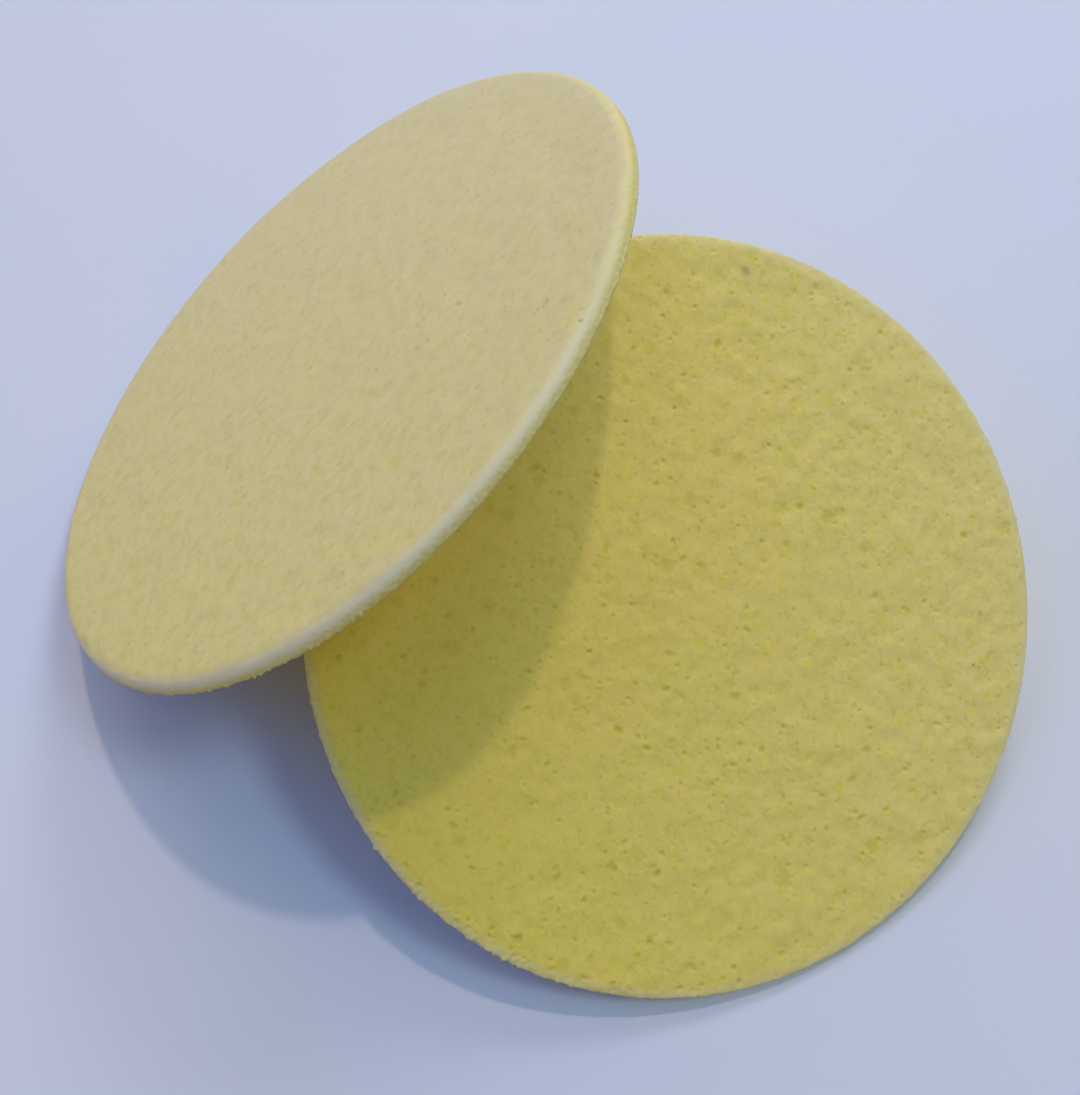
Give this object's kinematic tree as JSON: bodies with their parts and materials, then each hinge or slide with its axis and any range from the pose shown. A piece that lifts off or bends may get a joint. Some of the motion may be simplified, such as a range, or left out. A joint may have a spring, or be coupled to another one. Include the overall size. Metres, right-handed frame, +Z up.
{
  "type": "compressed facial sponge",
  "caption": "Pair of thin round pressed-foam facial sponge discs, dry and stiff, one lying rough side up and one leaning over it smooth side up.",
  "frame": {"origin": "on the surface that the pair stands on, under the middle of the pair's bounding box", "axes": "+X runs from the leaning disc towards the lower disc, along the longest extent; +Z is up, along the shortest extent"},
  "size_m": [0.1004, 0.0746, 0.0454],
  "materials": {
    "rough_side_foam": "matte",
    "smooth_side_foam": "matte"
  },
  "bodies": {
    "lower_disc": {"lower_disc": "rough_side_foam"},
    "leaning_disc": {"leaning_disc": "smooth_side_foam"}
  },
  "joints": [
    {"name": "leaning_disc_lift_off", "type": "slide", "parent": "lower_disc", "child": "leaning_disc", "axis": [0, 0, 1], "range_m": [0, 0.06]}
  ]
}
